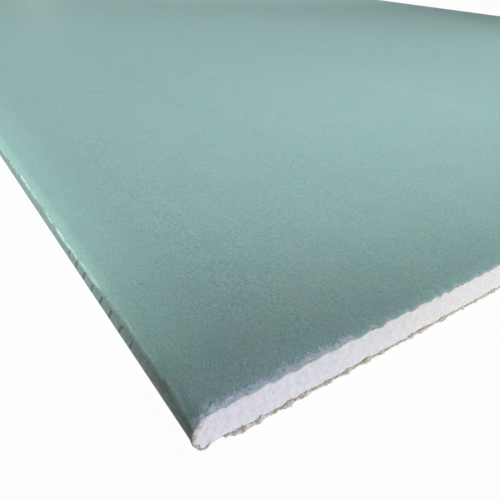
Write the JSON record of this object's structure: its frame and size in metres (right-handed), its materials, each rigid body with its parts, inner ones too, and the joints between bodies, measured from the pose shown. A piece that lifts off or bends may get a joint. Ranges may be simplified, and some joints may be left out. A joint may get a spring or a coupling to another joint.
{
  "type": "drywall sheet",
  "caption": "Flat moisture-resistant gypsum board with tapered, paper-bound long edges and square-cut ends, fixed over studs or joists to line a wall or ceiling.",
  "frame": {"origin": "middle of the sheet's back, on the surface that the sheet lies on", "axes": "+X along the length, +Y across the width, +Z out of the coloured face"},
  "size_m": [2.4, 1.2, 0.0125],
  "materials": {
    "gypsum": "matt, crumbly cast gypsum",
    "face_paper": "matt blue-green moisture-resistant face paper",
    "back_paper": "matt buff recycled-fibre back paper"
  },
  "bodies": {
    "root": {"gypsum_core": "gypsum", "face_paper": "face_paper", "back_paper": "back_paper"}
  },
  "joints": []
}
